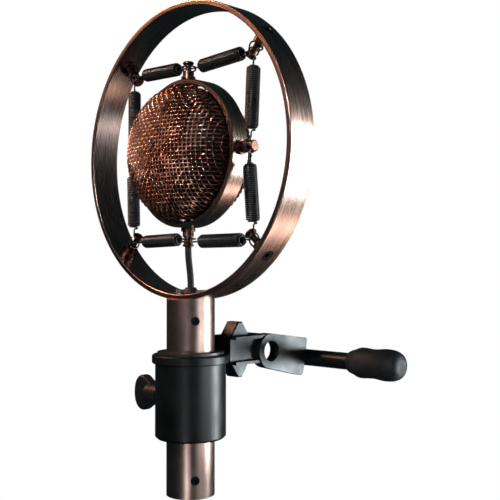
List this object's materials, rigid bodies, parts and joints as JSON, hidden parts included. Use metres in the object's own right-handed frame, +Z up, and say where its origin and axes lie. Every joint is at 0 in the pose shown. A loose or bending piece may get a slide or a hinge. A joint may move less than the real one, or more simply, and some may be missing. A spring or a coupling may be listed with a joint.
{
  "type": "condenser microphone",
  "caption": "Condenser microphone with a mesh-domed head hung on springs in an open ring, on a tube stem held by a tilting stand clamp with a lever.",
  "frame": {"origin": "centre of the stem's lower end, at the output connector's face", "axes": "+Z up the stem to the ring, +X to the microphone's left hand side seen from its front, +Y from the front face to the clamp's arm"},
  "size_m": [0.136, 0.1082, 0.2252],
  "materials": {
    "brushed_copper": "antiqued copper, brushed round, dark patina and bright highlights",
    "copper_posts": "turned antiqued copper",
    "copper_mesh": "plain-woven copper-bronze wire",
    "fine_mesh": "fine dark bronze gauze",
    "blackened_screws": "black oxide",
    "steel_fasteners": "bright steel",
    "blackened_springs": "black oxide spring wire",
    "rubber_grommet": "matt rubber",
    "cable_jacket": "satin black jacket",
    "gold_membrane": "gold-sputtered film",
    "capsule_brass": "machined brass",
    "capsule_plastic": "black moulded plastic",
    "gold_contacts": "gold-plated",
    "board_laminate": "green circuit laminate",
    "board_components": "moulded component bodies",
    "transformer_can": "drawn steel can",
    "liner_plastic": "black nylon",
    "black_paint": "satin black coating",
    "moulded_wing": "black moulded plastic",
    "rubber_grip": "black rubber"
  },
  "bodies": {
    "swivel_arm": {"swivel_arm": "black_paint", "hinge_bolt": "black_paint", "hinge_washer": "steel_fasteners"},
    "lock_lever": {"lock_screw": "steel_fasteners", "lever_rod": "black_paint", "lever_grip": "rubber_grip"},
    "clamp_sleeve": {"clamp_sleeve": "black_paint"},
    "thumb_screw": {"thumb_screw_shank": "steel_fasteners", "thumb_screw_wing": "moulded_wing"},
    "clamp_liner": {"clamp_liner": "liner_plastic"},
    "microphone": {"ring": "brushed_copper", "ring_post_upper_right": "copper_posts", "ring_post_upper_left": "copper_posts", "ring_post_lower_left": "copper_posts", "ring_post_lower_right": "copper_posts", "ring_post_screws": "blackened_screws", "saddle": "brushed_copper", "saddle_screws": "steel_fasteners", "stem_tube": "brushed_copper", "stem_set_screws": "blackened_screws", "cable_grommet": "rubber_grommet", "signal_cable": "cable_jacket", "stem_cable": "cable_jacket", "spring_bottom_left": "blackened_springs", "spring_bottom_right": "blackened_springs", "spring_left_lower": "blackened_springs", "spring_left_upper": "blackened_springs", "spring_right_lower": "blackened_springs", "spring_right_upper": "blackened_springs", "spring_top_left": "blackened_springs", "spring_top_right": "blackened_springs", "connector_insert": "capsule_plastic", "connector_contacts": "gold_contacts", "stem_board": "board_laminate", "stem_board_parts": "board_components", "output_transformer": "transformer_can"},
    "head": {"head_band": "brushed_copper", "head_post_right": "copper_posts", "head_post_top": "copper_posts", "head_post_left": "copper_posts", "head_post_bottom": "copper_posts", "front_grille": "copper_mesh", "rear_grille": "copper_mesh", "front_mesh_liner": "fine_mesh", "rear_mesh_liner": "fine_mesh", "capsule_membrane_front": "gold_membrane", "capsule_membrane_rear": "gold_membrane", "capsule_clamp_ring_front": "capsule_brass", "capsule_clamp_ring_rear": "capsule_brass", "capsule_backplate": "capsule_brass", "capsule_screws": "steel_fasteners", "capsule_cradle": "capsule_plastic", "head_board": "board_laminate", "head_board_parts": "board_components", "head_lead": "cable_jacket"}
  },
  "joints": [
    {"name": "tilt", "type": "hinge", "parent": "swivel_arm", "child": "clamp_sleeve", "pos_m": [0, 0.0286, 0.0644], "axis": [1, 0, 0], "range_deg": [-45, 75]},
    {"name": "lever_turn", "type": "hinge", "parent": "swivel_arm", "child": "lock_lever", "pos_m": [0.0062, 0.07536, 0.0571], "axis": [0, 0.983, -0.1834], "continuous": true},
    {"name": "thumb_screw_turn", "type": "hinge", "parent": "clamp_sleeve", "child": "thumb_screw", "pos_m": [-0.03, 0, 0.0432], "axis": [1, 0, 0], "continuous": true},
    {"name": "stem_turn", "type": "hinge", "parent": "clamp_sleeve", "child": "clamp_liner", "pos_m": [0, 0, 0.045], "axis": [0, 0, 1], "continuous": true},
    {"name": "stem_slide", "type": "slide", "parent": "clamp_liner", "child": "microphone", "axis": [0, 0, 1], "range_m": [-0.014, 0.02]},
    {"name": "head_float", "type": "slide", "parent": "microphone", "child": "head", "axis": [0, 1, 0], "range_m": [-0.003, 0.003], "stiffness_N_per_m": 900, "deforming": ["spring_bottom_left", "spring_bottom_right", "spring_left_lower", "spring_left_upper", "spring_right_lower", "spring_right_upper", "spring_top_left", "spring_top_right", "signal_cable"]}
  ]
}
